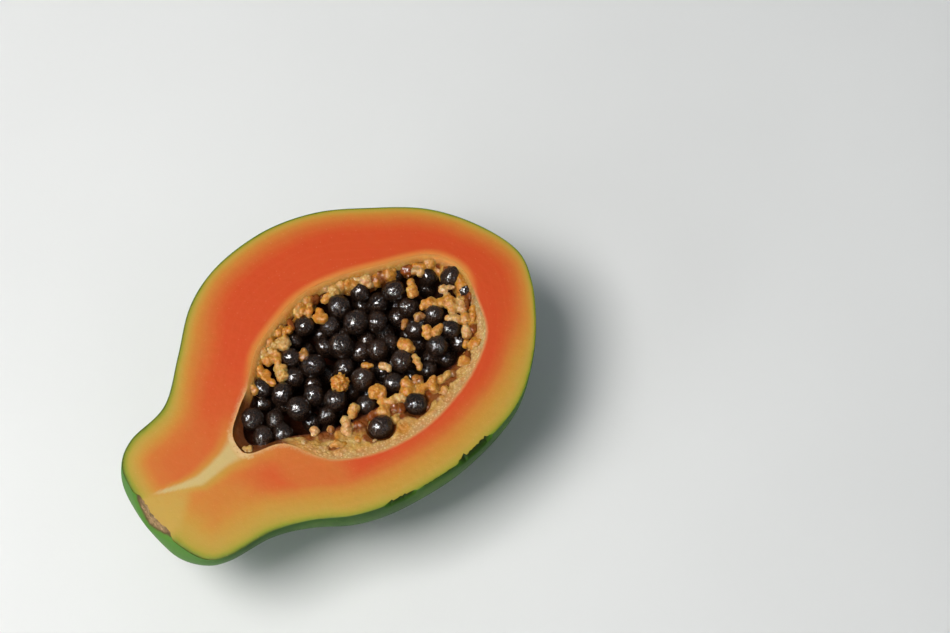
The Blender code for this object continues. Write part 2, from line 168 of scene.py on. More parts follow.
# What shows of the pith among the seeds, as (pixel across, pixel down, length, width, degrees above level in
# the picture, tone), with lengths and widths in mm, at their heights in the hollow.
CLUMPS = {
    -3.2: (
        (318, 293, 4.6, 3.8, -35, "rust"), (353, 283, 5.4, 3.8, 0, "rust"), (400, 269, 5.4, 3.6, 10, "rust"),
        (379, 275, 4.8, 4.4, 80, "rust"), (404, 323, 4.4, 2.6, 80, "dim"),
    ),
    -1.7: (
        (282, 342, 7, 6.2, -50, "cream"), (270, 347, 6, 5.2, 70, "straw"), (267, 357, 7, 6, 20, "yellow"),
        (304, 354, 7.4, 4.4, -72, "dim"), (277, 357, 6.4, 3.6, -72, "yellow"), (281, 371, 7.6, 6, -62, "straw"),
        (261, 371, 7.8, 5, -32, "amber"), (256, 361, 6.4, 4, 72, "amber"), (268, 380, 6.6, 3.2, -30, "amber"),
        (309, 309, 7.4, 3.2, 84, "yellow"), (320, 315, 7, 5.6, -58, "amber"), (290, 323, 5, 3.2, -72, "rust"),
        (286, 330, 4.4, 3.2, 30, "amber"), (300, 311, 5, 3.6, 60, "amber"), (335, 290, 6.6, 6, 10, "straw"),
        # The white lump at (354, 278) is partly pale tissue and partly a painted highlight, where wet seeds glint.
        (323, 286, 6, 4.4, 25, "cream"), (326, 297, 5, 3.2, 50, "yellow"), (354, 278, 4.4, 2.4, -20, "white"),
        (367, 279, 7, 6.4, -50, "cream"), (345, 281, 4, 3.2, 20, "amber"), (390, 270, 5, 3, 10, "amber"),
        (412, 286, 8.4, 5.2, 88, "yellow"), (418, 270, 6.4, 4.2, 8, "cream"), (430, 303, 8.8, 5.8, 4, "yellow"),
        (441, 301, 5.2, 4.6, 10, "yellow"), (450, 302, 8.6, 6.6, -84, "yellow"),
        (461, 304, 7.2, 4.6, -84, "cream"), (466, 302, 6, 2.6, -78, "rust"), (453, 317, 7, 4.4, -6, "cream"),
        (465, 317, 5.6, 5.6, 0, "yellow"),
    ),
    -1.3: (
        (340, 383, 6.6, 6.6, 0, "fluff"), (353, 410, 6.2, 5, 58, "straw"), (346, 425, 8.4, 5.2, -78, "cream"),
        (360, 423, 6.2, 5.6, 20, "rust"), (314, 430, 4.6, 3.8, 0, "white"), (304, 444, 4.2, 3.8, 80, "white"),
        (443, 288, 4.2, 3.8, 12, "white"), (450, 286.5, 4.8, 2.2, 4, "white"), (419, 314, 4.6, 4.2, 60, "grey"),
        (427, 330, 6.6, 3.8, -80, "yellow"), (437, 329, 6.6, 4.2, 60, "yellow"),
        (467, 331, 5.8, 4.8, 90, "cream"), (406, 345, 7.4, 6.4, -50, "yellow"),
        (417, 360, 7.2, 3.2, -66, "straw"), (385, 366, 5.6, 3.6, -25, "white"), (367, 365, 6.4, 2.6, 2, "amber"),
        (377, 390, 7.2, 6.4, -15, "yellow"), (384, 406, 8, 6.6, 78, "yellow"), (393, 398, 5, 3.6, 40, "straw"),
        (408, 384, 9.6, 4.6, -58, "amber"), (402, 396, 4.8, 4.4, 0, "cream"), (418, 391, 6, 4.4, 10, "yellow"),
        (418, 378, 5.2, 4.4, 0, "dim"), (433, 384, 8.8, 4.4, -82, "yellow"), (445, 391, 6.8, 5, 68, "yellow"),
        (451, 375, 5.6, 4.4, 20, "grey"), (424, 386, 4.8, 3.4, 40, "amber"), (396, 408, 7, 4.6, -58, "rust"),
        (429, 405, 5, 3.6, 50, "rust"), (338, 444, 7.4, 5.4, 8, "yellow"), (322, 449, 5, 3.2, 0, "cream"),
        (372, 414, 4.6, 3.8, 30, "rust"), (360, 438, 5.4, 3.4, 20, "amber"), (375, 441, 2.2, 1.8, 0, "white"),
        (382, 445, 2.6, 2.2, 0, "white"), (330, 428, 3.6, 3.2, 0, "grey"), (247.5, 449.5, 6.2, 3.6, 4, "straw"),
    ),
}
# How amber, pale and wet each tone is.
TONES = {
    "cream": (0.1, 0.55, 0.0), "straw": (0.3, 0.15, 0.0), "yellow": (0.75, 0.1, 0.0), "amber": (0.95, 0.0, 0.2),
    "white": (0.0, 1.0, 0.0), "rust": (0.6, 0.0, 0.85), "fluff": (1.0, 0.0, 0.0), "grey": (0.0, 0.4, 0.5),
    "dim": (0.5, 0.0, 0.5),
}

# Camera: it looks at the station AIM.
PHOTO_WIDTH, PHOTO_HEIGHT = 950, 633
AIM = (123.26, -16.2, 0)
CAMERA_TURN = math.radians(41.74)
CAMERA_RISE = math.radians(66.0)
CAMERA_REACH = 0.6962
LENS = 80.0
SENSOR = 36.0

# Lights: name, direction (right, away and up in the picture), distance and size in metres, watts, colour, and
# whether gloss mirrors them and matt surfaces take their light.
LIGHTS = (
    ("ceiling", (-0.38, -0.16, 0.91), 0.95, (0.45, 0.45), 8.8, (1.0, 0.985, 0.96), False, True),
    ("fill", (-0.75, -0.5, 0.45), 1.3, (0.5, 0.5), 2.6, (0.96, 1.0, 1.0), False, True),
    ("window", (-0.39, -0.3, 0.84), 1.3, (0.26, 0.3), 62.0, (1.0, 1.0, 1.0), True, False),
    ("lamp", (0.6, -0.62, 0.75), 1.5, (0.12, 0.12), 1.6, (1.0, 1.0, 1.0), True, False),
)
LIT_PLACE = (80, 0, 0)
WORLD_COLOUR = (0.86, 0.95, 1.0, 1.0)
WORLD_STRENGTH = 0.24
FLOOR_SIZE = 12.0
FLOOR_DROP = 0.0002

# Points along and round each surface, and the rows from its outer to its inner edge.
FLESH_STEPS = (250, 84)
HOLLOW_STEPS = (FLESH_STEPS[0], 24)
CUT_ROWS = 56
LINING_STEPS = (300, 12)
LINING_ROWS = 30
WALL_CLUMP_STEPS = (46, 12)
FILL_WALL_STEPS = (80, 24)

# Detail of the pith, with lengths in millimetres: how deep the lining's back reaches, its grains and those of the
# clumps, how far down the wall's clumps hang, the blocks that clumps are melted in, the crumbs on each of their
# balls, and the fingers of the fluffy ball with the places of the balls along them.
LINING_BACK = 0.9
LINING_GRAIN = 1.05
CLUMP_GRAIN = 0.85
WALL_CLUMP_DROPS = (1.6, 3.8)
MELT_BLOCK = 0.28
CRUMBS = 2
TUFT_FINGERS = 240
FINGER_PARTS = (0.35, 0.55, 0.7, 0.82, 0.92, 1.0)


def at(points):
    """One or many places in the frame, in metres, from their stations in millimetres."""
    return np.asarray(points, float) * MM + (STEM_X, AXIS_Y, CUT_LEVEL)


def camera_axes():
    """The picture's right, up and into the picture, as directions in the frame."""
    forward = Vector((math.sin(CAMERA_TURN) * math.cos(CAMERA_RISE),
                      math.cos(CAMERA_TURN) * math.cos(CAMERA_RISE), -math.sin(CAMERA_RISE)))
    right = Vector((math.cos(CAMERA_TURN), -math.sin(CAMERA_TURN), 0))
    return right, right.cross(forward), forward


def under_pixel(x, y, up=0.0):
    """The stations of the place that the photograph shows at a pixel, at a given height."""
    right, above, forward = camera_axes()
    focal = PHOTO_WIDTH * LENS / SENSOR
    ray = forward + right * ((x - PHOTO_WIDTH / 2) / focal) - above * ((y - PHOTO_HEIGHT / 2) / focal)
    eye = -forward * CAMERA_REACH / MM
    reach = (up - eye.z) / ray.z
    return AIM[0] + (eye + ray * reach).x, AIM[1] + (eye + ray * reach).y, up


# ---- shapes


def curve_through(stations, steps):
    """Evenly spaced points of a smooth curve through all stations but the first and last, which steer its ends."""
    knots = np.array(stations, float)
    t = np.linspace(0, 1, 24, endpoint=False)[:, None]
    fine = []
    for a, b, c, d in zip(knots, knots[1:], knots[2:], knots[3:]):
        square, cube = 2 * a - 5 * b + 4 * c - d, 3 * b - a - 3 * c + d
        fine.append(0.5 * (2 * b + (c - a) * t + square * t**2 + cube * t**3))
    fine = np.vstack([*fine, knots[-2]])
    run = np.concatenate([[0], np.cumsum(np.linalg.norm(np.diff(fine, axis=0), axis=1))])
    even = np.linspace(0, run[-1], steps + 1)
    return np.stack([np.interp(even, run, axis) for axis in fine.T], axis=1)


def outline(stations, steps):
    """The left edge, right edge and keel as curves that meet in rounded ends."""
    left, right, keel = stations["left"], stations["right"], stations["keel"]
    first, last = ((along, across, -down) for along, across, down in (keel[1], keel[-2]))
    guided = (right[1], *left, right[-2]), (left[1], *right, left[-2]), (first, *keel, last)
    return [curve_through(line, steps)[:, None] for line in guided]


def boat(stations, steps, lean=0.0, swell=0.0):
    """Grid of points, along by round, from the left edge under the keel to the right edge."""
    along, around = steps
    left, right, keel = outline(stations, along)
    angle = np.linspace(lean, math.pi - lean, around + 1)[None, :]
    across = np.cos(angle) / math.cos(lean)
    below = (np.sin(angle) - math.sin(lean)) / (1 - math.sin(lean))
    edge = np.where((across > 0)[..., None], left, right)
    grid = np.empty((along + 1, around + 1, 3))
    grid[..., :2] = keel[..., :2] + (edge - keel[..., :2]) * (np.abs(across)**2)[..., None]
    grid[..., 1] = keel[..., 1] + (edge[..., 1] - keel[..., 1]) * np.abs(across)
    ridges = 1 + swell * np.cos(RIDGES * angle) * np.sin(angle)**2
    grid[..., 2] = -keel[..., 2] * below * ridges
    return grid


def skin_grid():
    """The outside of the fruit, with a stem end that swells out below the cut."""
    grid = boat(SKIN, FLESH_STEPS, RIM_LEAN, RIDGE_SWELL)
    push = STEM_SWELL * np.sin(math.pi / 2 * np.clip(-grid[..., 2] / STEM_SWELL_DEPTH, 0, 2))
    grid[..., 0] -= push * smooth(STEM_SWELL_REACH, 0, grid[..., 0]) * smooth(*STEM_SWELL_FLANK, grid[..., 1])
    return grid


def rim_loop(grid):
    """The grid's edge as one loop, from the stem end along the left side and back along the right."""
    return np.vstack([grid[:, 0], grid[-2:0:-1, -1]])


def grow(grid, distance):
    """The grid moved by a distance along its normals, out of the boat where the distance is positive."""
    along = np.gradient(grid, axis=0)
    around = np.gradient(grid, axis=1)
    normal = np.cross(along, around)
    size = np.linalg.norm(normal, axis=2, keepdims=True)
    normal = normal / np.maximum(size, 1e-9)
    normal[0] = (-1, 0, 0)
    normal[-1] = (1, 0, 0)
    return grid + distance * normal


def ripple(points, size, seed):
    """Smooth noise from -1 to 1 at each point, with features of about the given size in millimetres."""
    shift = Vector((seed * 7.31, seed * 3.17, seed * 5.77))
    return np.array([noise.noise(Vector(p) / size + shift) for p in points])


def grains(points, size):
    """Distance from each point to the middle of the nearest grain, in grains of the given size."""
    return np.array([noise.voronoi(Vector(p) / size)[0][0] for p in points])


def kd_tree(points):
    tree = KDTree(len(points))
    for k, place in enumerate(points):
        tree.insert(place, k)
    tree.balance()
    return tree


def nearest(points, loop):
    """Distance in the plane from each point to a closed loop, in millimetres."""
    ends = np.roll(loop, -1, axis=0)
    fine = np.vstack([loop + (ends - loop) * part for part in np.arange(8) / 8])
    tree = kd_tree([(place[0], place[1], 0) for place in fine])
    return np.array([tree.find((p[0], p[1], 0))[2] for p in points])


def smooth(low, high, values):
    """0 below low, 1 above high, smooth in between. High may be the lower of the two."""
    share = np.clip((np.asarray(values, float) - low) / (high - low), 0, 1)
    return share * share * (3 - 2 * share)


def linked(name, data):
    """An object for the data, in the scene."""
    thing = bpy.data.objects.new(name, data)
    bpy.context.scene.collection.objects.link(thing)
    return thing


def new_object(name, points, faces, attributes, groups=None):
    """A mesh object from stations, with numbers for each point and a material number for each face."""
    data = bpy.data.meshes.new(name)
    data.from_pydata(at(points).tolist(), [], faces)
    data.update()
    for title, values in attributes.items():
        layer = data.attributes.new(title, "FLOAT", "POINT")
        layer.data.foreach_set("value", np.asarray(values, np.float32))
    if groups is not None:
        data.polygons.foreach_set("material_index", np.asarray(groups, np.int32))
    data.shade_smooth()
    return linked(name, data)


# ---- materials


class Value:
    """One socket of a material's nodes. Arithmetic on it adds Math nodes."""

    def __init__(self, tree, socket):
        self.tree = tree
        self.socket = socket

    def node(self, kind, settings=None, sockets=None, output=0):
        made = self.tree.nodes.new("ShaderNode" + kind)
        for name, setting in (settings or {}).items():
            if name == "stops":
                set_stops(made.color_ramp, setting)
            else:
                setattr(made, name, setting)
        for name, value in (sockets or {}).items():
            plug(self.tree, made.inputs[name], value)
        return Value(self.tree, made.outputs[output])

    def math(self, operation, *values):
        return self.node("Math", {"operation": operation}, dict(enumerate(values)))

    def __add__(self, other):
        return self.math("ADD", self, other)

    def __sub__(self, other):
        return self.math("SUBTRACT", self, other)

    def __mul__(self, other):
        return self.math("MULTIPLY", self, other)

    def __rsub__(self, other):
        return self.math("SUBTRACT", other, self)

    __radd__ = __add__
    __rmul__ = __mul__

    def size(self):
        return self.math("ABSOLUTE", self)

    def sine(self):
        return self.math("SINE", self)

    def between(self, low, high):
        """0 below low, 1 above high, as smooth() does with numbers."""
        return self.node("MapRange", {"interpolation_type": "SMOOTHSTEP"},
                         {"Value": self, "From Min": low, "From Max": high})

    def ramp(self, stops):
        """A colour from stops of (place, colour)."""
        return self.node("ValToRGB", {"stops": stops}, {"Fac": self})

    def over(self, *layers):
        """This colour with layers of (share, colour) laid over it, one after another."""
        colour = self
        for share, other in layers:
            other = other if isinstance(other, Value) else (*other, 1.0)
            colour = self.node("Mix", {"data_type": "RGBA"}, {0: share, 6: colour, 7: other}, output=2)
        return colour


def plug(tree, socket, value):
    if isinstance(value, Value):
        tree.links.new(value.socket, socket)
    else:
        socket.default_value = value


def set_stops(ramp, stops):
    while len(ramp.elements) > 1:
        ramp.elements.remove(ramp.elements[-1])
    for k, (place, colour) in enumerate(stops):
        stop = ramp.elements[0] if k == 0 else ramp.elements.new(place)
        stop.position = place
        stop.color = (*colour, 1.0)


class Finish:
    """A material and the textures that it is mixed from."""

    def __init__(self, name):
        self.material = bpy.data.materials.new(name)
        self.material.use_nodes = True
        self.tree = self.material.node_tree
        self.shader = self.tree.nodes["Principled BSDF"]
        self.start = Value(self.tree, None)
        place = self.start.node("TexCoord", output="Object")
        self.place = place.node("VectorMath", {"operation": "SCALE"}, {0: place, "Scale": 1 / MM})

    def mark(self, name):
        """A number that the mesh carries at each point."""
        return self.start.node("Attribute", {"attribute_name": name}, output=2)

    def noise(self, size, detail=2.0, rough=0.5, warp=0.0):
        """Noise from 0 to 1 with features of about the given size in millimetres."""
        return self.start.node("TexNoise", {}, {
            "Vector": self.place, "Scale": 1 / size, "Detail": detail, "Roughness": rough, "Distortion": warp})

    def cells(self, size):
        """Distance to the middle of the nearest cell, in cells of about the given size in millimetres."""
        return self.start.node("TexVoronoi", {}, {"Vector": self.place, "Scale": 1 / size})

    def bump(self, height, depth, under=None):
        """Relief of the given depth in millimetres."""
        sockets = {"Height": height, "Distance": depth * MM, "Strength": 1.0}
        if under is not None:
            sockets["Normal"] = under
        return self.start.node("Bump", {}, sockets)

    def feed(self, **sockets):
        """Sets or links the shader's sockets, named with underscores for spaces."""
        for name, value in sockets.items():
            plug(self.tree, self.shader.inputs[name.replace("_", " ")], value)
        return self.material


def rgb(red, green, blue):
    """A colour as it looks on screen, 0 to 255, in the shader's linear numbers."""
    return tuple((v / 255 / 12.92) if v <= 10 else ((v / 255 + 0.055) / 1.055)**2.4 for v in (red, green, blue))


# Colours, as they look on screen: of the flesh from the skin inward, of the marks on it, and of each finish.
RIPENING = (
    (0.00, rgb(62, 82, 16)), (0.09, rgb(132, 138, 34)), (0.2, rgb(170, 147, 52)), (0.32, rgb(183, 145, 57)),
    (0.45, rgb(190, 136, 50)), (0.58, rgb(194, 120, 44)), (0.72, rgb(196, 100, 38)), (0.85, rgb(198, 84, 31)),
    (1.00, rgb(198, 71, 26)),
)
GROWTH_RING = rgb(232, 122, 70)
CORE_STREAK = rgb(194, 168, 110)
STALK_WEDGE = rgb(188, 152, 70)
HOLLOW_GLOW = rgb(212, 132, 56)
HOLLOW_RIM = rgb(204, 144, 88)
CRUMB_PALE, CRUMB_DARK = rgb(214, 180, 130), rgb(150, 92, 50)
FLESH_SPECK = rgb(240, 170, 120)

SKIN_CLOUDS = (0.3, rgb(40, 74, 14)), (0.52, rgb(56, 98, 20)), (0.72, rgb(84, 124, 32))
SKIN_BLOTCH = rgb(32, 56, 18)
# Lighter green at the stem end: partly the skin's own paler green, partly painted light on the side that faces the
# lamps.
SKIN_STEM_GREEN_AND_LIGHT = rgb(90, 138, 58)
SKIN_DOT = rgb(140, 150, 90)
# Torn skin's dark green, deepened with painted shade for the crack along the tear.
SKIN_TORN_AND_SHADE = rgb(32, 44, 14)
SCAR_CORK = (
    (0.28, rgb(74, 56, 38)), (0.42, rgb(122, 102, 70)), (0.55, rgb(160, 130, 92)), (0.72, rgb(206, 164, 128)),
)
SCAR_PIT = rgb(98, 62, 44)
# Darker ends and edge of the scar: partly the cork's own colour, partly painted shade under the sunken scar's rim.
SCAR_DARK_END_AND_SHADE = rgb(96, 70, 50)
SCAR_OLIVE_LIP_AND_SHADE = rgb(80, 64, 38)

PITH_LUMPS = (0.3, rgb(160, 112, 44)), (0.48, rgb(190, 146, 68)), (0.66, rgb(206, 172, 102))
PITH_AMBER = rgb(192, 126, 30)
PITH_PATCH = rgb(216, 176, 104)
PITH_WHITE = rgb(198, 156, 104)
PITH_PEACH = rgb(228, 144, 64)
# Wet tissue's red-brown, also used as painted shade round the lone seeds and in the hollow's tip.
PITH_WET_AND_SHADE = rgb(116, 50, 13)
# Painted shade, dark brown, where the pith falls away among the seeds and under them.
PITH_PAINTED_SHADE = rgb(58, 26, 14)
PITH_RUST = rgb(194, 116, 50)
# Painted shade for the creases between the pith's grains, and a pale colour for grain tops that is partly painted
# glints.
GRAIN_CREASE_SHADE, GRAIN_PALE_AND_GLINT = rgb(150, 88, 36), rgb(246, 222, 178)

SEED_TONES = (0.35, rgb(9, 6, 5)), (0.55, rgb(18, 12, 9)), (0.75, rgb(38, 25, 17))
SEED_BROWN = rgb(62, 40, 27)
SEED_NET = rgb(84, 58, 42)
PAPER = (0.3, (0.74, 0.74, 0.735)), (0.7, (0.78, 0.78, 0.775))


def flesh_finish():
    look = Finish("papaya_flesh")
    mottle = look.noise(9.0, 3.0, 0.6) - 0.5
    grain = look.noise(0.9, 2.0, 0.6) - 0.5
    rings = (look.mark("ring") * 2.1 + mottle * 7.0).sine()
    pale = look.mark("pale") + (look.noise(1.6, 3.0) - 0.5) * 0.25 * look.mark("pale")
    edge = look.mark("cream") * (0.6 + 0.8 * look.noise(1.3, 3.0))
    crumb = look.mark("crumb")
    colour = (look.mark("ripe") + mottle * 0.1 + grain * 0.03).ramp(RIPENING).over(
        (rings.between(0.45, 1.0) * look.mark("body") * 0.03, GROWTH_RING),
        (pale.between(0.0, 1.0), CORE_STREAK),
        (look.mark("wedge") * 0.85, STALK_WEDGE),
        (look.mark("peach") * 0.9, HOLLOW_GLOW),
        (edge.between(0.0, 0.95), HOLLOW_RIM),
        ((crumb * (0.1 + 1.3 * look.noise(0.9, 3.0, 0.6))).between(0.15, 1.0), CRUMB_PALE),
        (crumb * look.cells(1.1).between(0.2, 0.08) * 0.6, CRUMB_DARK),
        (look.cells(1.9).between(0.16, 0.06) * 0.1, FLESH_SPECK),
    )
    relief = look.bump(look.noise(0.55, 3.0, 0.65), 0.05, look.bump(look.noise(3.5), 0.12))
    return look.feed(
        Base_Color=colour, Roughness=0.46 + 0.18 * look.noise(2.2), Normal=relief, IOR=1.38,
        Specular_IOR_Level=0.14, Subsurface_Weight=0.3, Subsurface_Radius=(1.0, 0.35, 0.12),
        Subsurface_Scale=0.0022,
    )


def skin_finish():
    look = Finish("papaya_skin")
    stem, torn, scar = (look.mark(name) for name in ("stem", "torn", "scar"))
    colour = look.noise(26.0, 4.0, 0.6).ramp(SKIN_CLOUDS).over(
        (look.noise(5.0, 4.0, 0.7).between(0.52, 0.8) * 0.45, SKIN_BLOTCH),
        # Lighter towards the stem end: partly the skin's own green, partly painted light where the stem end faces
        # the light.
        (stem.between(0.2, 1.0) * 0.75, SKIN_STEM_GREEN_AND_LIGHT),
        (look.cells(3.4).between(0.1, 0.05) * 0.35, SKIN_DOT),
        # Torn skin, dark green with painted shade in the crack between skin and flesh.
        (torn.between(0.3, 1.0), SKIN_TORN_AND_SHADE),
        (scar.between(0.3, 0.7), scar_colour(look, scar)),
    )
    relief = look.bump(look.noise(0.6, 3.0, 0.6) * scar * 4.0 + look.noise(1.6, 3.0), 0.05)
    return look.feed(
        Base_Color=colour, Roughness=0.46 + scar * 0.4 + torn * 0.3, Normal=relief, IOR=1.3,
        Specular_IOR_Level=0.15, Subsurface_Weight=0.05, Subsurface_Radius=(0.4, 0.6, 0.2),
        Subsurface_Scale=0.001,
    )


def scar_colour(look, scar):
    """Cork with dark pits, darker at the scar's ends and round its edge: partly the cork's own colour, partly
    painted shade under the sunken scar's rim.
    """
    return look.noise(2.2, 4.0, 0.65).ramp(SCAR_CORK).over(
        (look.cells(1.5).between(0.26, 0.05) * 0.7, SCAR_PIT),
        (look.mark("end") * 0.85, SCAR_DARK_END_AND_SHADE),
        (scar.between(1.0, 0.6) * 0.85, SCAR_OLIVE_LIP_AND_SHADE),
    )


def pith_finish():
    look = Finish("papaya_pith")
    white, peach, wet_and_shade, deep = (look.mark(name) for name in ("white", "peach", "wet_and_shade", "deep"))
    wet_and_shade_mix = wet_and_shade + (look.noise(1.8, 3.0, 0.6) - 0.5) * 0.5 * wet_and_shade
    dry = (1 - deep) * (1 - wet_and_shade) * (1 - peach)
    grain = look.cells(0.8)
    colour = look.noise(2.4, 3.0, 0.6).ramp(PITH_LUMPS).over(
        (look.mark("amber").between(0.1, 1.0), PITH_AMBER),
        (look.noise(1.5).between(0.5, 0.7) * 0.35, PITH_PATCH),
        (white.between(0.1, 0.9) * 0.85, PITH_WHITE),
        (peach, PITH_PEACH),
        # Wet tissue, and in the same colour painted shade round the lone seeds and in the tip.
        (wet_and_shade_mix.between(0.12, 0.78) * 0.9, PITH_WET_AND_SHADE),
        # The deep mark is painted shade: darker where the band drops among the seeds, in the tip, at the far end
        # and on the wall under the seeds.
        (deep, PITH_PAINTED_SHADE),
        (look.noise(2.8, 3.0, 0.6).between(0.5, 0.66) * dry * 0.45, PITH_RUST),
        # Painted shade in the creases between grains; pale grain tops, partly painted glints, more so on pale
        # tissue.
        (grain.between(0.4, 0.85) * dry * 0.3, GRAIN_CREASE_SHADE),
        (grain.between(0.4, 0.1) * dry * (0.2 + 0.45 * white), GRAIN_PALE_AND_GLINT),
    )
    relief = look.bump(grain, -0.07, look.bump(look.noise(1.2, 3.0), 0.14))
    return look.feed(
        Base_Color=colour, Normal=relief, IOR=1.38, Roughness=0.52 + 0.35 * peach - 0.35 * wet_and_shade - 0.14 * white,
        Specular_IOR_Level=0.3, Subsurface_Weight=0.85, Subsurface_Radius=(1.0, 0.6, 0.28),
        Subsurface_Scale=0.0028,
    )


def seed_finish():
    look = Finish("papaya_seed")
    net = 1 - (look.noise(1.1, warp=1.2) * 2 - 1).size()
    colour = look.noise(2.4, 3.0, 0.6).ramp(SEED_TONES).over(
        (look.mark("brown"), SEED_BROWN),
        (net.between(0.8, 1.0) * 0.3, SEED_NET),
    )
    relief = look.bump(net, 0.16, look.bump(look.noise(0.7), 0.03))
    return look.feed(
        Base_Color=colour, Roughness=0.03 + 0.06 * look.noise(1.6), Normal=relief, IOR=1.42,
        Specular_IOR_Level=0.5, Coat_Weight=0.3, Coat_Roughness=0.03, Coat_IOR=1.4,
        Sheen_Weight=0.03, Sheen_Roughness=0.3, Sheen_Tint=(0.5, 0.3, 0.2, 1.0),
    )


# ---- flesh and skin


def ripeness(points, to_skin):
    """How far the flesh has turned, from 0 at the skin to 1: slower on the right side and in the neck."""
    along, left = points[:, 0], points[:, 1]
    quick = to_skin * (1 + 0.2 * smooth(85, 112, along) - 0.27 * smooth(72, 52, along))
    upper = np.interp(quick, (0, 1, 2.3, 3.5, 6, 8.5, 11), (0, 0.2, 0.45, 0.58, 0.72, 0.85, 1))
    slow = to_skin * (1 + 0.25 * smooth(104, 124, along))
    lower = np.interp(
        slow, (0, 1, 2, 3.5, 7, 10, 12, 14, 16), (0.04, 0.14, 0.22, 0.33, 0.45, 0.58, 0.72, 0.85, 1.0))
    neck_left = np.interp(to_skin, (0, 1, 2.2, 4, 6.5, 9, 14), (0, 0.1, 0.2, 0.34, 0.52, 0.66, 0.74))
    neck_right = np.interp(to_skin, (0, 1, 2.2, 4, 8, 12, 18), (0, 0.1, 0.19, 0.28, 0.4, 0.52, 0.6))
    neck = neck_left + (neck_right - neck_left) * smooth(4, -4, left)
    right = smooth(8, -18, left) * smooth(142, 118, along)
    body = upper + (lower - upper) * right
    body = np.minimum(body, 1 - 0.3 * smooth(34, 44, along) * smooth(64, 54, along) * smooth(2, -8, left))
    body = np.minimum(body, 1 - 0.12 * smooth(56, 42, along))
    body = np.maximum(body, 0.09 * smooth(100, 125, along))
    return neck + (body - neck) * smooth(22, 44, along)


def core_marks(points):
    """The pale streak from the hollow's tip, the yellow wedge on to the stalk's scar, and the streak's glow."""
    along, left = points[:, 0], points[:, 1]
    middle = np.interp(along, (0, 6, 14.5, 19.5, 24, 36), (7.6, 5.6, 1.6, -0.5, -0.5, 0.2))
    half = np.interp(along, (0, 6, 14.5, 19, 25, 30, 34, 38), (0.6, 0.7, 1.2, 1.8, 2, 2.4, 3.6, 4.8))
    streak = smooth(1.6, 0.3, np.abs(left - middle) / half) * smooth(40, 36, along) * smooth(3, 10, along)
    glow = smooth(3, 0.9, np.abs(left - middle) / half) * smooth(6, 14, along) * smooth(46, 38, along)
    upper = np.interp(along, (0, 6, 15), (8, 5, 0.5))
    lower = np.interp(along, (0, 6, 15), (-9.5, -7.5, -1.5))
    wedge = smooth(-0.8, 0.8, upper - left) * smooth(-2.8, 2, left - lower) * smooth(23, 8, along)
    return streak, wedge * (1 - streak), glow


def tear_amount(points):
    """How torn the skin's edge is at each point, from 0 to 1, and how deep in millimetres."""
    torn = np.zeros(len(points))
    depth = np.zeros(len(points))
    for along, left, reach, size in TEARS:
        near = np.hypot(points[:, 0] - along, points[:, 1] - left)
        share = smooth(reach, reach * 0.55, near)
        torn = np.maximum(torn, share)
        depth = np.maximum(depth, share * size)
    jag = 0.65 + 0.5 * ripple(points, 1.2, 3) + 0.35 * ripple(points, 0.5, 5)
    return torn, depth * np.clip(jag, 0.1, 1.3)


def sink_scar(points):
    """The points with the stalk's scar pressed into the stem end, and how far inside it each one lies."""
    wide, deep = SCAR_REACH
    deep = deep * (1 - 0.35 * smooth(2, -8, points[:, 1]))
    reach = (np.abs(points[:, 1]) / wide)**SCAR_ROUND + (np.abs(points[:, 2]) / deep)**SCAR_ROUND
    inside = smooth(1.12, 0.74, reach) * smooth(SCAR_FADE[1], SCAR_FADE[0], points[:, 0])
    lumps = 0.55 * ripple(points, 1.7, 8) + 0.3 * ripple(points, 0.8, 9)
    moved = points.copy()
    moved[:, 0] += inside * (SCAR_DEPTH + lumps)
    return moved, inside


def scar_end(points):
    """1 at the two ends of the scar, 0 at its middle."""
    return smooth(0.4, 0.9, np.abs(points[:, 1]) / SCAR_REACH[0])


def beside_rim(loop, shares):
    """A rim loop's values on the skin's first rows of points below both edges, each row with its share."""
    along, around = FLESH_STEPS
    grid = np.zeros((along + 1, around + 1))
    for row, share in enumerate(shares):
        grid[:, row] = loop[:along + 1] * share
        grid[:, -1 - row] = np.concatenate([[loop[0]], loop[:along:-1], [loop[along]]]) * share
    return grid.reshape(-1)


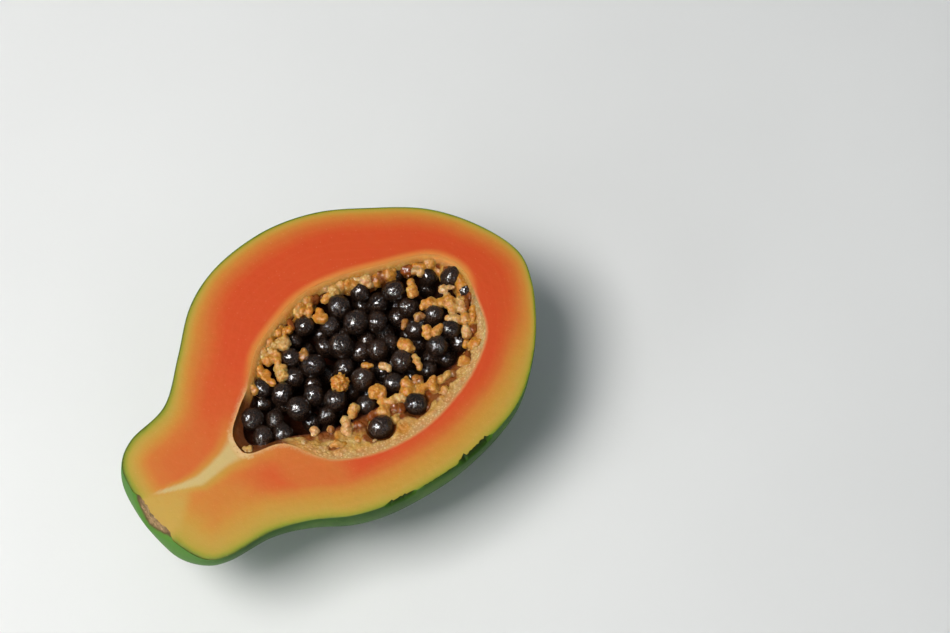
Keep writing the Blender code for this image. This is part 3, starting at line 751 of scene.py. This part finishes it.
def make_flesh():
    """Skin, cut face and hollow's wall in one mesh, with where each point lies as attributes."""
    skin = skin_grid()
    hollow = boat(HOLLOW, HOLLOW_STEPS)
    outer, inner = rim_loop(skin), rim_loop(hollow)
    ring = len(outer)
    torn, bite = tear_amount(outer)
    inward = inner - outer
    inward /= np.linalg.norm(inward, axis=1, keepdims=True)

    points, faces, groups = [], [], []
    marks = {title: [] for title in (
        "ripe", "ring", "body", "pale", "wedge", "cream", "peach", "crumb", "stem", "torn", "scar", "end")}

    def add(rows, **values):
        """Adds rows of points and returns the number of the first."""
        first = sum(len(block) for block in points)
        points.append(rows)
        for title, blocks in marks.items():
            blocks.append(np.broadcast_to(values.get(title, 0.0), len(rows)))
        return first

    # Skin, sunk and frayed below its edge where that is torn.
    flat = skin.reshape(-1, 3).copy()
    flat[:, 2] = np.maximum(flat[:, 2] - beside_rim(bite, SUNK_ROWS), -CUT_LEVEL / MM)
    flat, scar = sink_scar(flat)
    frayed = beside_rim(torn, TORN_ROWS)
    skin_first = add(flat, stem=smooth(30, 0, flat[:, 0]), scar=scar, torn=frayed, end=scar_end(flat))
    faces += [[a, d, c, b] for a, b, c, d in quads(*skin.shape[:2], first=skin_first)]
    groups += [1] * len(faces)

    # Cut face, in rows that lie closer together near the skin.
    last = rim_loop(np.arange(len(flat)).reshape(*skin.shape[:2], 1))[:, 0] + skin_first
    edge_points = outer + inward * (EDGE_INSET + bite * 0.95)[:, None]
    share = np.linspace(0, 1, CUT_ROWS + 1)
    share = 0.45 * share + 0.55 * (0.5 - 0.5 * np.cos(math.pi * share))
    for row, part in enumerate(share):
        line = edge_points + (inner - edge_points) * part
        line[:, 2] = -EDGE_DROP * (1 - smooth(0, 0.02, part)) - HOLLOW_DROP * smooth(0.94, 1, part)
        line, scarred = sink_scar(line)
        line[:, 2] += 0.05 * ripple(line, 7, 2) + 0.03 * ripple(line, 1.8, 4)
        to_skin = nearest(line, outer)
        to_hollow = nearest(line, inner)
        pale, wedge, glow = core_marks(line)
        side = right_side(line)
        near_tip = smooth(60, 46, line[:, 0]) * smooth(33, 36, line[:, 0])
        peach = smooth(2.9, 0.2, to_hollow) * (1 - side) * (1 - near_tip)
        cream = smooth(1.5, -0.4, to_hollow) * side + smooth(1.4, -0.2, to_hollow) * near_tip * (1 - side)
        crumb = smooth(3.2, 0.6, to_hollow) * np.maximum(smooth(40, 36, line[:, 0]), 0.6 * near_tip)
        first = add(
            line, crumb=crumb, ripe=ripeness(line, to_skin) - 0.25 * glow, ring=to_skin,
            body=smooth(30, 50, line[:, 0]), pale=pale, wedge=wedge, cream=cream, peach=peach,
            torn=torn * (row == 0), scar=scarred * (part < 0.015), end=scar_end(line))
        current = np.arange(first, first + ring)
        faces += np.stack([last, np.roll(last, -1), np.roll(current, -1), current], axis=1).tolist()
        groups += [int(row == 0)] * ring
        last = current

    # The hollow's wall.
    first = add(hollow.reshape(-1, 3) - (0, 0, HOLLOW_DROP), ripe=0.8, peach=0.8)
    wall_faces = quads(*hollow.shape[:2], first=first)
    faces += wall_faces
    groups += [0] * len(wall_faces)

    attributes = {title: np.concatenate(blocks) for title, blocks in marks.items()}
    flesh = new_object("papaya_flesh", np.vstack(points), faces, attributes, groups)
    mend(flesh)
    flesh.data.materials.append(flesh_finish())
    flesh.data.materials.append(skin_finish())
    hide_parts("flesh")
    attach(flesh, "root")


def mend(thing):
    """Welds points that coincide, drops what has no area, and turns all faces outward."""
    mesh = bmesh.new()
    mesh.from_mesh(thing.data)
    bmesh.ops.remove_doubles(mesh, verts=mesh.verts, dist=0.00002)
    bmesh.ops.dissolve_degenerate(mesh, edges=mesh.edges, dist=0.000002)
    bmesh.ops.recalc_face_normals(mesh, faces=mesh.faces)
    mesh.to_mesh(thing.data)
    mesh.free()
    thing.data.set_sharp_from_angle(angle=math.radians(50))


# ---- pith


def bowl_wall(steps):
    """The bowl that the pith leaves for the seeds."""
    return boat(BOWL, steps) - (0, 0, BAND_DROP)


def make_lining():
    """The pith's band round the hollow and the wall below it, as a closed shell."""
    hollow = grow(boat(HOLLOW, LINING_STEPS), -GAP)
    outer, inner = rim_loop(boat(HOLLOW, LINING_STEPS)), rim_loop(bowl_wall(LINING_STEPS))
    count, rows = len(outer), LINING_ROWS
    parts = np.repeat(np.linspace(0, 1, rows + 1), count)
    face = np.vstack([outer + (inner - outer) * part for part in np.linspace(0, 1, rows + 1)])
    width = np.tile(np.linalg.norm((inner - outer)[:, :2], axis=1), rows + 1)
    side = right_side(face)
    tip = smooth(52, 46, face[:, 0])
    fall = (1.5 - 0.5 * side) * (1 - tip) + 0.65 * tip
    face[:, 2] = -HOLLOW_DROP - (BAND_DROP - HOLLOW_DROP) * parts**fall
    pocket_shade = np.zeros(len(face))
    for x, y, size in LONE_SEEDS:
        along, left, _ = under_pixel(x, y, LONE_HEIGHT)
        near = np.hypot(face[:, 0] - along, face[:, 1] - left)
        dip = LONE_HEIGHT - 0.25 * size
        face[:, 2] += (np.minimum(face[:, 2], dip) - face[:, 2]) * smooth(size * 0.72, size * 0.45, near)
        # Painted shade in the pocket round each lone seed, laid on in the wet tissue's colour.
        pocket_shade = np.maximum(pocket_shade, smooth(size * 0.78, size * 0.56, near))
    grain = grains(face, LINING_GRAIN)
    room = smooth(1.5, 5, width)
    strength = smooth(0.02, 0.22, parts) * smooth(1, 0.96, parts) * (0.6 + 0.4 * side)
    strength *= 1 - 0.8 * tip
    swell = 0.6 * ripple(face, 2.6, 21) + 0.2 * side * ripple(face, 0.7, 24)
    face[:, 2] += strength * ((0.42 - grain) * 0.7 * side + (0.3 + 0.7 * room) * swell)
    inward = parts * width + ripple(face, 3.2, 22)
    juicy = smooth(0.45, 0.75, parts) * side * smooth(110, 100, face[:, 0])
    # Wet tissue in patches, on the band's inner edge and in the tip; round the lone seeds the same darkening is
    # painted shade, and in the tip it is partly painted shade.
    wet_and_shade = np.maximum.reduce([
        smooth(2.6, 5, inward) * (0.3 + 0.9 * smooth(0, 0.35, ripple(face, 4.2, 25))) * smooth(0, 0.5, side),
        0.7 * (1 - side) * smooth(1, 2.4, inward) * smooth(-0.1, 0.4, ripple(face, 2.2, 26)),
        0.75 * juicy * smooth(-0.35, 0.15, ripple(face, 3, 27)),
        smooth(0.78, 0.95, parts) * room, tip, pocket_shade,
    ])
    far = smooth(119, 126, face[:, 0])
    amber = np.maximum(smooth(0.15, 0.6, ripple(face, 4, 23)) * 0.8 + (1 - side) * 0.3, 0.9 * far)
    white = smooth(4.6, 1, inward) * side * 0.75
    # Painted shade, kept as the deep mark: darker towards the band's inner edge, down into the hollow's tip and at
    # its far end.
    shade = np.maximum(smooth(0.9, 1, parts), 0.5 * tip * smooth(0.1, 0.8, parts))
    shade = np.maximum(shade, 0.22 * far * smooth(0.2, 0.5, parts))

    peach = smooth(0.75, 0.15, parts) * (1 - side) * (1 - tip)

    # Two rows below the edge close the shell, and look like the first row of the face.
    wall = bowl_wall(LINING_STEPS)
    root = rim_loop(hollow)
    face = np.vstack([root + (0, 0, -LINING_BACK), root + (outer - root) * 1.6 + (0, 0, -0.6), face])
    faces = quads(rows + 3, count, closed=True)
    faces += quads(*wall.shape[:2], first=len(face))
    hollow[:, [0, -1], 2] = -LINING_BACK
    hollow[[0, -1], :, 2] = -LINING_BACK
    faces += quads(*hollow.shape[:2], first=len(face) + wall.size // 3, flip=True)
    points = np.vstack([face, wall.reshape(-1, 3), hollow.reshape(-1, 3)])
    # The bowl's wall under the seeds and the shell's back take the full painted shade and the full wet tone.
    marks = {
        title: np.concatenate([values[:count], values[:count], values, np.full(len(points) - len(face), inside)])
        for title, values, inside in (
            ("amber", amber, 0.6), ("wet_and_shade", wet_and_shade, 1), ("white", white, 0), ("peach", peach, 0), ("deep", shade, 1))
    }
    lining = new_object("pith_lining", points, faces, marks)
    mend(lining)
    return lining


def right_side(points):
    """1 on the right of the hollow, 0 on its left, at its tip and at its far end."""
    left = points[:, 1] + 12 * smooth(108, 124, points[:, 0])
    return smooth(10, -1, left) * smooth(44, 58, points[:, 0])


def quads(rows, columns, first=0, closed=False, flip=False):
    """Faces of a grid of points, each row closed to a ring or turned over if asked."""
    faces = []
    for i in range(rows - 1):
        for j in range(columns if closed else columns - 1):
            n = (j + 1) % columns
            a, b = first + i * columns, first + (i + 1) * columns
            square = [a + j, a + n, b + n, b + j]
            faces.append(square[::-1] if flip else square)
    return faces


def lump(centre, axes, size, tone):
    """Balls that fill an ellipsoid with the given half axes, with crumbs on their outsides."""
    balls = []
    axes = np.array(axes)
    reach = np.linalg.norm(axes, axis=1)
    inner = axes * np.maximum(1 - size / reach, 0.12)[:, None]
    count = 5 + int(1.3 * (reach * np.roll(reach, 1)).sum() / size**2)
    for k in range(count):
        offset = rng.normal(size=3)
        offset *= (rng.uniform(0.75, 1) if k % 3 else rng.uniform(0.1, 0.6)) / np.linalg.norm(offset)
        place = np.asarray(centre) + offset @ inner
        radius = size * rng.uniform(0.7, 1.15)
        tint = np.clip(np.array(TONES[tone]) + rng.normal(size=3) * (0.18, 0.14, 0.06), 0, 1)
        balls.append((place, radius, tint))
        for _ in range(CRUMBS):
            way = rng.normal(size=3)
            way *= radius * rng.uniform(0.6, 0.9) / np.linalg.norm(way)
            balls.append((place + way, radius * rng.uniform(0.3, 0.5), tint))
    return balls


def make_wall_clumps():
    """The fluffy tissue that hangs into the hollow all round, below its edge."""
    balls = []
    outer, inner = rim_loop(boat(HOLLOW, WALL_CLUMP_STEPS)), rim_loop(bowl_wall(WALL_CLUMP_STEPS))
    side = right_side(outer)
    for k, (out, edge) in enumerate(zip(outer, inner)):
        step = edge - out
        width = np.linalg.norm(step[:2])
        inward = step / max(width, 0.6)
        patch = noise.noise(Vector(out) / 5.0 + Vector((3.3, 1.1, 0.4)))
        if out[0] < 50 + 14 * side[k] or patch < -0.22:
            continue
        for drop in WALL_CLUMP_DROPS:
            if rng.random() > 0.85 - 0.3 * side[k]:
                continue
            size = rng.uniform(1.8, 3.4)
            reach = size * 0.6 + rng.uniform(0, 1.4) if side[k] < 0.5 else width * rng.uniform(0.5, 1)
            centre = out + inward * (reach + 0.3 * drop)
            centre[2] = -drop - 0.5 * size - rng.uniform(0, 0.8)
            tone = rng.choice(("yellow", "straw", "amber", "rust"), p=(0.3, 0.2, 0.35, 0.15))
            slant = np.array([inward[0] * 0.5, inward[1] * 0.5, -0.8]) * size * 1.1
            around = np.array([-inward[1], inward[0], 0]) * size
            through = np.array([inward[0], inward[1], 0.2]) * size * 0.7
            balls += lump(centre, (slant, around, through), 0.6 * size, tone)
    return melt("pith_wall_clumps", balls)


def make_clumps():
    """The clumps and beads of pith that show among the seeds and on the band, and the fluffy ball."""
    balls, fluff = [], []
    for up, group in CLUMPS.items():
        for x, y, length, width, degrees, tone in group:
            along, left, _ = under_pixel(x, y, up)
            if tone == "fluff":
                fluff += tuft((along, left, up), length / 2, tone)
                continue
            long = picture_step(degrees) * length / 2
            wide = Vector((-long.y, long.x, 0)).normalized() * width / 2
            tall = Vector((0, 0, 0.4 * width))
            sunk = 0.42 if TONES[tone][2] > 0.4 else 0.25
            balls += lump((along, left, up - sunk * width), (long, wide, tall), 0.4 + 0.19 * width, tone)
    return melt("pith_clumps", balls), melt("pith_tuft", fluff, soften=1)


def tuft(centre, reach, tone):
    """A fluffy ball of short fingers that stand out all round."""
    balls = []
    for _ in range(TUFT_FINGERS):
        way = rng.normal(size=3)
        way /= np.linalg.norm(way)
        long = reach * rng.uniform(0.8, 1)
        tint = np.array(TONES[tone]) + (0, 0.15 * rng.random(), 0)
        for part in FINGER_PARTS:
            balls.append((np.asarray(centre) + way * long * part, 0.72 - 0.44 * part, tint))
    return balls


def picture_step(degrees):
    """The step on the fruit for one millimetre in the picture, at an angle above level."""
    turn = math.radians(degrees)
    step = Vector((math.cos(turn), math.sin(turn)))
    right, _, forward = camera_axes()
    ahead = Vector((forward.x, forward.y, 0)).normalized()
    return right * step.x + ahead * step.y / math.sin(CAMERA_RISE)


def melt(name, balls, soften=5):
    """One soft body from balls of (centre, radius, tint), tinted like the nearest of them."""
    ball, links = unit_ball(2)
    data = bpy.data.meshes.new(name)
    copies = links + len(ball) * np.arange(len(balls))[:, None, None]
    data.from_pydata(np.vstack([ball * radius + centre for centre, radius, _ in balls]).tolist(), [],
                     copies.reshape(-1, 3).tolist())
    rough = linked(name, data)
    remesh = rough.modifiers.new("melt", "REMESH")
    remesh.mode = "VOXEL"
    remesh.voxel_size = MELT_BLOCK
    rough.modifiers.new("soften", "SMOOTH").iterations = soften
    melted = rough.evaluated_get(bpy.context.evaluated_depsgraph_get()).to_mesh()
    count = len(melted.vertices)
    points, normals = np.empty(count * 3), np.empty(count * 3)
    melted.vertices.foreach_get("co", points)
    melted.vertices.foreach_get("normal", normals)
    faces = [list(face.vertices) for face in melted.polygons]
    points, normals = points.reshape(-1, 3), normals.reshape(-1, 3)
    bpy.data.objects.remove(rough)
    tree = kd_tree([centre for centre, _, _ in balls])
    marks = np.empty((count, 3))
    for k, place in enumerate(points):
        near = tree.find_n(place, 3)
        weights = [1 / (hit[2] + 0.3)**2 for hit in near]
        marks[k] = sum(np.array(balls[hit[1]][2]) * w for hit, w in zip(near, weights)) / sum(weights)
    relief = (0.4 - grains(points, CLUMP_GRAIN)) * 0.18
    relief += 0.32 * ripple(points, 1.7, 30) + 0.1 * ripple(points, 0.6, 31)
    points = points + normals * relief[:, None]
    return new_object(name, points, faces, {"amber": marks[:, 0], "white": marks[:, 1], "wet_and_shade": marks[:, 2]})


def make_pith():
    finish = pith_finish()
    for piece in (make_lining(), make_wall_clumps(), *make_clumps()):
        piece.data.materials.append(finish)
        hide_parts("pith")
        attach(piece, "root")


# ---- seeds


def unit_ball(detail):
    """Points and faces of a round ball with a radius of 1."""
    mesh = bmesh.new()
    bmesh.ops.create_icosphere(mesh, subdivisions=detail, radius=1.0)
    mesh.verts.ensure_lookup_table()
    points = np.array([vertex.co for vertex in mesh.verts])
    faces = np.array([[vertex.index for vertex in face.verts] for face in mesh.faces])
    mesh.free()
    return points, faces


def seed_shapes(detail, count, seed):
    """Unit seeds: slightly long balls with wrinkles. Returns their points and the faces that they share."""
    ball, faces = unit_ball(detail)
    draw = np.random.default_rng(seed)
    shapes = []
    for kind in range(count):
        warped = ball + 0.05 * np.stack([ripple(ball, 0.9, kind + axis * 17 + 1) for axis in range(3)], axis=1)
        bent = ball + 0.12 * np.stack([ripple(ball, 0.5, kind + axis * 13 + 5) for axis in range(3)], axis=1)
        crease = 1 - np.abs(ripple(bent, 0.3, kind + 71)) - 0.4 * np.abs(ripple(bent, 0.15, kind + 53))
        swell = 1 + 0.05 * ripple(ball, 0.7, kind + 40) + 0.12 * (crease - 0.7)
        stretch = (1.0, draw.uniform(0.92, 1.0), draw.uniform(1.0, 1.14))
        shapes.append(warped * swell[:, None] * stretch)
    return shapes, faces


def seed_places():
    """Centre and radius of each seed, the ones that show first, and how many show."""
    found = []

    def room(centre, radius, part=0.96):
        return all((centre - other).length > part * (radius + size) for other, size in found)

    for x, y, size in LONE_SEEDS:
        found.append((Vector(under_pixel(x, y, LONE_HEIGHT)), size / 2))
    for height, group in SEEDS.items():
        for x, y, size in group:
            up = height
            while not room(Vector(under_pixel(x, y, up)), size / 2) and up > height - SINK_LIMIT:
                up -= SINK_STEP
            found.append((Vector(under_pixel(x, y, up)), size / 2))
    shown = len(found)
    wall = bowl_wall(FILL_WALL_STEPS)
    tree = BVHTree.FromPolygons([Vector(p) for p in wall.reshape(-1, 3)], quads(*wall.shape[:2]))
    for up in FILL_LAYERS:
        for along in np.arange(40, 132, FILL_SPACING):
            for left in np.arange(-26, 28, FILL_SPACING):
                centre = Vector((along, left, up)) + Vector(rng.uniform(-FILL_SHIFT, FILL_SHIFT, 3))
                radius = rng.uniform(*FILL_RADIUS)
                hit, normal, _, gap = tree.find_nearest(centre)
                if hit is None or (centre - hit).dot(normal) < 0 or gap < radius * 0.7:
                    continue
                if room(centre, radius, 0.9):
                    found.append((centre, radius))
    return found, shown


def make_seeds():
    """All seeds in one mesh, those on top with the finest faces."""
    places, shown = seed_places()
    top = len(LONE_SEEDS) + len(next(iter(SEEDS.values())))
    grades = [seed_shapes(4, SEED_KINDS, 5), seed_shapes(3, SEED_KINDS, 5), seed_shapes(2, 3, 6)]
    points, faces, brown = [], [], []
    count = 0
    for k, (centre, radius) in enumerate(places):
        shapes, links = grades[0 if k < top else 1 if k < shown else 2]
        turn = np.array(Matrix.Rotation(rng.uniform(0, 2 * math.pi), 3, Vector(rng.normal(size=3)).normalized()))
        shape = shapes[int(rng.integers(len(shapes)))] @ turn.T
        points.append(shape * radius + np.array(centre))
        faces.extend((links + count).tolist())
        brown.append(np.full(len(shape), 0.35 * rng.random()**1.5))
        count += len(shape)
    seeds = new_object("papaya_seeds", np.vstack(points), faces, {"brown": np.concatenate(brown)})
    seeds.data.materials.append(seed_finish())
    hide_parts("seeds")
    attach(seeds, "root")


# ---- stage


def floor_finish():
    look = Finish("floor_paper")
    tint = look.noise(160.0).ramp(PAPER)
    return look.feed(Base_Color=tint, Roughness=0.9, Normal=look.bump(look.noise(0.8, 3.0), 0.02),
                     Specular_IOR_Level=0.2)


def make_stage():
    bpy.ops.mesh.primitive_plane_add(size=FLOOR_SIZE, location=(0, 0, -FLOOR_DROP))
    floor = bpy.context.object
    floor.name = "floor"
    floor.data.materials.append(floor_finish())


def area_light(name, direction, reach, size, watts, colour, mirrored, diffuse):
    """A light that shines on the fruit from a direction in the camera's ground frame."""
    lamp = bpy.data.lights.new(name, "AREA")
    lamp.shape = "RECTANGLE"
    lamp.size, lamp.size_y = size
    lamp.energy = watts
    lamp.color = colour
    right, _, forward = camera_axes()
    ahead = Vector((forward.x, forward.y, 0)).normalized()
    side, back, rise = direction
    aim = (right * side + ahead * back + Vector((0, 0, rise))).normalized()
    thing = linked(name, lamp)
    thing.location = Vector(at(LIT_PLACE)) + aim * reach
    thing.rotation_euler = aim.to_track_quat("Z", "Y").to_euler()
    thing.visible_glossy = mirrored
    thing.visible_diffuse = diffuse


def make_light():
    scene = bpy.context.scene
    world = bpy.data.worlds.new("studio")
    world.use_nodes = True
    backdrop = world.node_tree.nodes["Background"]
    backdrop.inputs["Color"].default_value = WORLD_COLOUR
    backdrop.inputs["Strength"].default_value = WORLD_STRENGTH
    scene.world = world
    scene.view_settings.view_transform = "Standard"
    scene.view_settings.look = "None"
    for light in LIGHTS:
        area_light(*light)


def make_camera():
    right, above, forward = camera_axes()
    camera = bpy.data.cameras.new("camera")
    camera.lens = LENS
    camera.sensor_width = SENSOR
    camera.sensor_fit = "HORIZONTAL"
    camera.clip_start = 0.01
    camera.clip_end = 20
    thing = linked("camera", camera)
    turn = Matrix((right, above, -forward)).transposed()
    thing.matrix_world = Matrix.Translation(Vector(at(AIM)) - forward * CAMERA_REACH) @ turn.to_4x4()
    bpy.context.scene.camera = thing


make_stage()
make_light()
make_camera()
make_flesh()
make_pith()
make_seeds()
